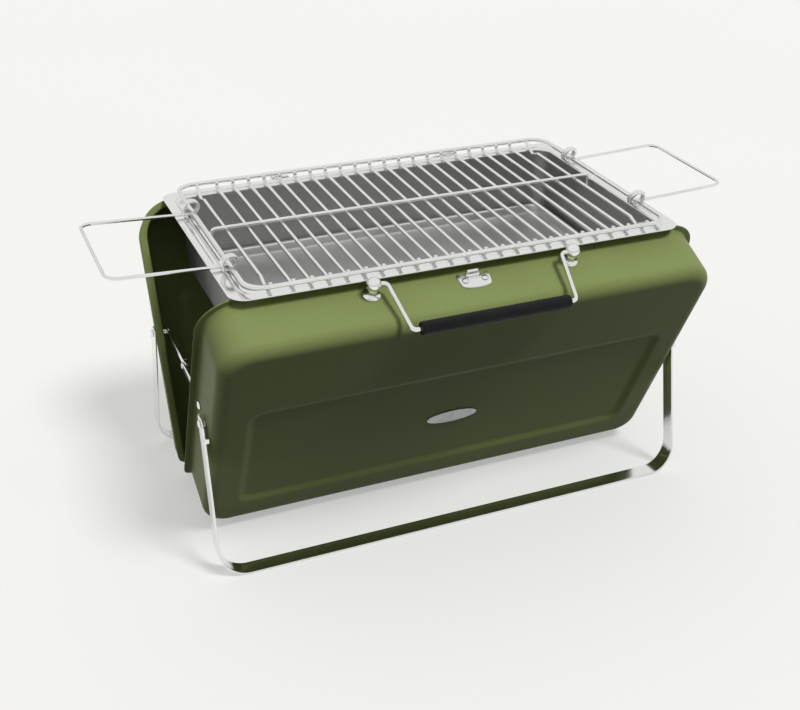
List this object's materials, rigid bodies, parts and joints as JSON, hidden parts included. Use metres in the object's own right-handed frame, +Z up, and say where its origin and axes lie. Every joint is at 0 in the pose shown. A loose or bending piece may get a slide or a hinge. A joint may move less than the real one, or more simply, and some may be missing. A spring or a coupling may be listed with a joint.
{
  "type": "portable charcoal grill",
  "caption": "Portable folding charcoal grill: two olive steel pans hinged into a V, wire grate with swing handles, firebox tray, strap legs and carrying handles.",
  "frame": {"origin": "on the floor, centred under the hinge line", "axes": "+X along the hinge to the right, +Y to the back, +Z up"},
  "size_m": [0.6162, 0.3658, 0.2952],
  "materials": {
    "olive_enamel": "satin olive-green enamel",
    "polished_steel": "polished stainless steel",
    "tray_steel": "dull heat-resistant steel",
    "hinge_steel": "zinc plated",
    "black_grip": "matt black",
    "badge_metal": "brushed, blank"
  },
  "bodies": {
    "front_pan": {"front_shell": "olive_enamel", "front_hinge_leaf_left": "hinge_steel", "front_hinge_leaf_right": "hinge_steel", "hinge_pin_left": "hinge_steel", "hinge_pin_right": "hinge_steel", "front_leg_rivet_left": "polished_steel", "front_leg_rivet_right": "polished_steel", "front_stay_rivet_left": "polished_steel", "front_stay_rivet_right": "polished_steel", "front_handle_post_left": "polished_steel", "front_handle_post_right": "polished_steel", "strike_plate": "polished_steel", "strike_rivet_left": "polished_steel", "strike_rivet_right": "polished_steel", "badge": "badge_metal"},
    "back_pan": {"back_shell": "olive_enamel", "back_hinge_leaf_left": "hinge_steel", "back_hinge_leaf_right": "hinge_steel", "back_leg_rivet_left": "polished_steel", "back_leg_rivet_right": "polished_steel", "back_stay_rivet_left": "polished_steel", "back_stay_rivet_right": "polished_steel", "back_handle_post_left": "polished_steel", "back_handle_post_right": "polished_steel", "latch_base": "polished_steel"},
    "front_leg": {"front_leg": "polished_steel"},
    "back_leg": {"back_leg": "polished_steel"},
    "front_stay_left": {"front_stay_link_left": "polished_steel"},
    "front_stay_right": {"front_stay_link_right": "polished_steel"},
    "back_stay_left": {"back_stay_link_left": "polished_steel", "elbow_rivet_left": "polished_steel"},
    "back_stay_right": {"back_stay_link_right": "polished_steel", "elbow_rivet_right": "polished_steel"},
    "firebox": {"firebox_tray": "polished_steel"},
    "coal_pan": {"charcoal_pan": "tray_steel"},
    "grate": {"grate_frame": "polished_steel", "grate_rods": "polished_steel"},
    "side_handle_left": {"side_handle_left": "polished_steel"},
    "side_handle_right": {"side_handle_right": "polished_steel"},
    "front_carry_handle": {"front_handle_wire": "polished_steel", "front_handle_grip": "black_grip"},
    "back_carry_handle": {"back_handle_wire": "polished_steel", "back_handle_grip": "black_grip"},
    "latch": {"latch_lever": "polished_steel"}
  },
  "joints": [
    {"name": "pan_fold", "type": "hinge", "parent": "front_pan", "child": "back_pan", "pos_m": [0, 0, 0.022], "axis": [1, 0, 0], "range_deg": [0, 49]},
    {"name": "tray_lift", "type": "slide", "parent": "front_pan", "child": "firebox", "axis": [0, -0.342, 0.9397], "range_m": [0, 0.36824]},
    {"name": "front_leg_fold", "type": "hinge", "parent": "front_pan", "child": "front_leg", "pos_m": [0, -0.09128, 0.14634], "axis": [1, 0, 0], "range_deg": [0, 36.5]},
    {"name": "back_leg_fold", "type": "hinge", "parent": "back_pan", "child": "back_leg", "pos_m": [0, 0.09128, 0.14634], "axis": [-1, 0, 0], "range_deg": [0, 36.5]},
    {"name": "front_stay_left_swing", "type": "hinge", "parent": "front_pan", "child": "front_stay_left", "pos_m": [0, -0.07395, 0.15534], "axis": [-1, 0, 0], "range_deg": [0, 56.21]},
    {"name": "back_stay_left_swing", "type": "hinge", "parent": "back_pan", "child": "back_stay_left", "pos_m": [0, 0.07395, 0.15534], "axis": [1, 0, 0], "range_deg": [0, 56.21]},
    {"name": "front_stay_right_swing", "type": "hinge", "parent": "front_pan", "child": "front_stay_right", "pos_m": [0, -0.07395, 0.15534], "axis": [-1, 0, 0], "range_deg": [0, 56.21]},
    {"name": "back_stay_right_swing", "type": "hinge", "parent": "back_pan", "child": "back_stay_right", "pos_m": [0, 0.07395, 0.15534], "axis": [1, 0, 0], "range_deg": [0, 56.21]},
    {"name": "grate_lift", "type": "slide", "parent": "firebox", "child": "grate", "axis": [0, 0, 1], "range_m": [0, 0.16]},
    {"name": "coal_pan_lift", "type": "slide", "parent": "firebox", "child": "coal_pan", "axis": [0, 0, 1], "range_m": [0, 0.08]},
    {"name": "side_handle_left_swing", "type": "hinge", "parent": "grate", "child": "side_handle_left", "pos_m": [-0.2025, 0, 0.2868], "axis": [0, 1, 0], "range_deg": [0, 180]},
    {"name": "side_handle_right_swing", "type": "hinge", "parent": "grate", "child": "side_handle_right", "pos_m": [0.2025, 0, 0.2868], "axis": [0, -1, 0], "range_deg": [0, 180]},
    {"name": "front_carry_swing", "type": "hinge", "parent": "front_pan", "child": "front_carry_handle", "pos_m": [0, -0.13383, 0.27564], "axis": [-1, 0, 0], "range_deg": [0, 90]},
    {"name": "back_carry_swing", "type": "hinge", "parent": "back_pan", "child": "back_carry_handle", "pos_m": [0, 0.13383, 0.27564], "axis": [1, 0, 0], "range_deg": [0, 90]},
    {"name": "latch_flip", "type": "hinge", "parent": "back_pan", "child": "latch", "pos_m": [0, 0.13365, 0.26704], "axis": [1, 0, 0], "range_deg": [0, 100]}
  ],
  "couplings": [
    {"joint": "tray_lift", "follows": "pan_fold", "m_per_rad": 0.43},
    {"joint": "front_stay_left_swing", "follows": "pan_fold", "ratio": 1.1462},
    {"joint": "front_stay_right_swing", "follows": "pan_fold", "ratio": 1.1462},
    {"joint": "back_stay_left_swing", "follows": "pan_fold", "ratio": 1.1462},
    {"joint": "back_stay_right_swing", "follows": "pan_fold", "ratio": 1.1462},
    {"joint": "coal_pan_lift", "follows": "grate_lift", "ratio": 0.5}
  ]
}
